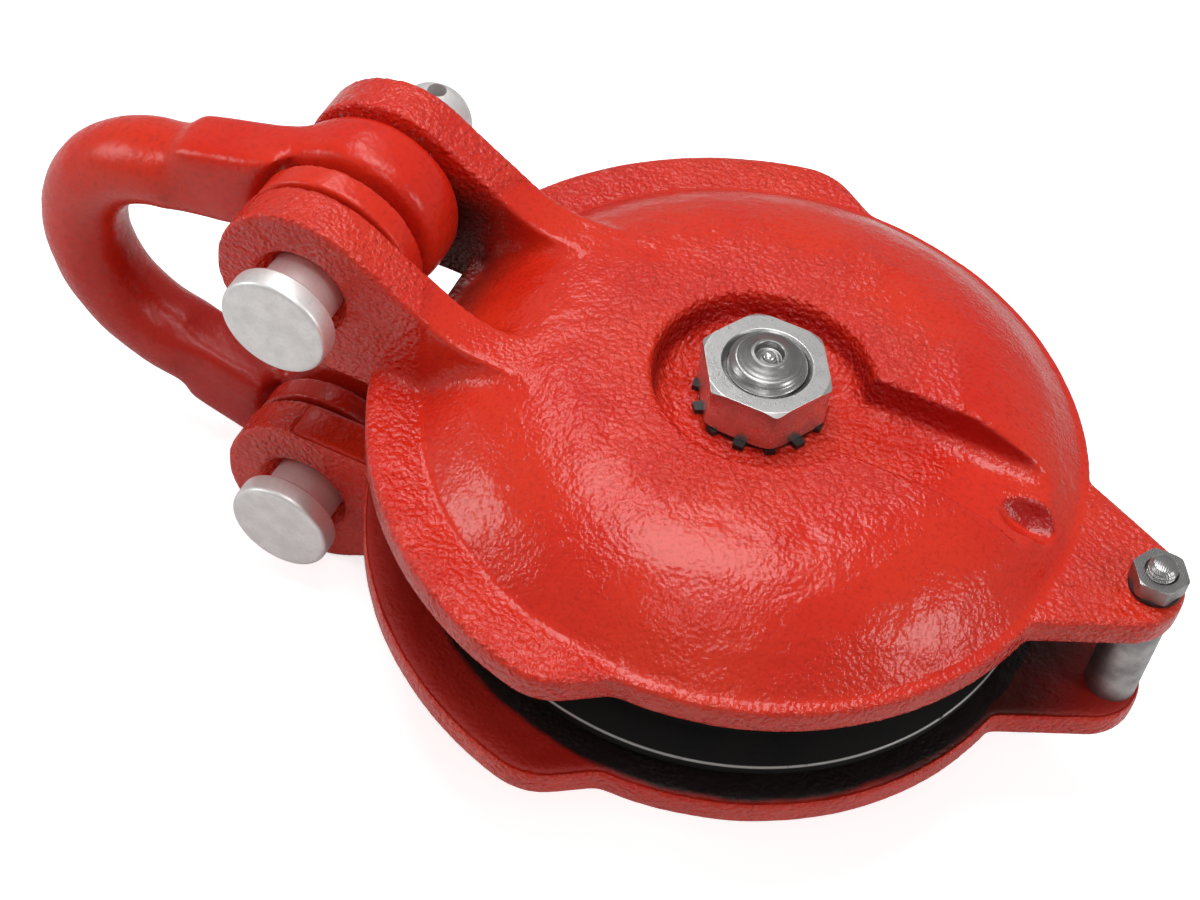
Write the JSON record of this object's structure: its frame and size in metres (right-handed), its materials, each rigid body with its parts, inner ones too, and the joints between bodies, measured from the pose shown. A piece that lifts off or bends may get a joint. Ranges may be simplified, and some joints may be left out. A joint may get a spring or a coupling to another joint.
{
  "type": "snatch block",
  "caption": "Snatch block with a grooved sheave between two domed cast cheeks, a U-shaped bow held by headed clevis pins, and a bolted tail.",
  "frame": {"origin": "centre of the sheave, on its axis, midway between the cheeks", "axes": "+Z along the sheave's axis towards the nut side, +X from the bow towards the tail bolt, +Y along the clevis pins away from their heads"},
  "size_m": [0.2588, 0.1522, 0.1038],
  "materials": {
    "red_enamel": "gloss",
    "black_iron": "satin",
    "black_steel": "satin",
    "zinc_steel": "satin",
    "plain_steel": "satin",
    "bronze": "satin"
  },
  "bodies": {
    "block": {"upper_cheek": "red_enamel", "lower_cheek": "red_enamel", "axle_sleeve": "plain_steel", "axle_bolt": "zinc_steel", "axle_nut": "zinc_steel", "axle_lock_washer": "black_steel", "upper_thrust_washer": "bronze", "lower_thrust_washer": "bronze", "grease_fitting": "zinc_steel", "grease_ball": "plain_steel", "upper_pin_collar": "red_enamel", "lower_pin_collar": "red_enamel", "tail_bolt": "zinc_steel", "tail_nut": "zinc_steel", "tail_lock_washer": "black_steel", "tail_spacer": "plain_steel"},
    "sheave": {"sheave": "black_iron", "sheave_bush": "bronze"},
    "bow": {"bow": "red_enamel"},
    "upper_pin": {"upper_pin": "zinc_steel"},
    "lower_pin": {"lower_pin": "zinc_steel"}
  },
  "joints": [
    {"name": "sheave_spin", "type": "hinge", "parent": "block", "child": "sheave", "pos_m": [0, 0, 0], "axis": [0, 0, 1], "continuous": true},
    {"name": "bow_side_play", "type": "slide", "parent": "block", "child": "bow", "axis": [0, 1, 0], "range_m": [-0.0035, 0.0004]},
    {"name": "upper_pin_pull", "type": "slide", "parent": "block", "child": "upper_pin", "axis": [0, -1, 0], "range_m": [-0.0057, 0.062]},
    {"name": "lower_pin_pull", "type": "slide", "parent": "block", "child": "lower_pin", "axis": [0, -1, 0], "range_m": [-0.0057, 0.062]}
  ]
}
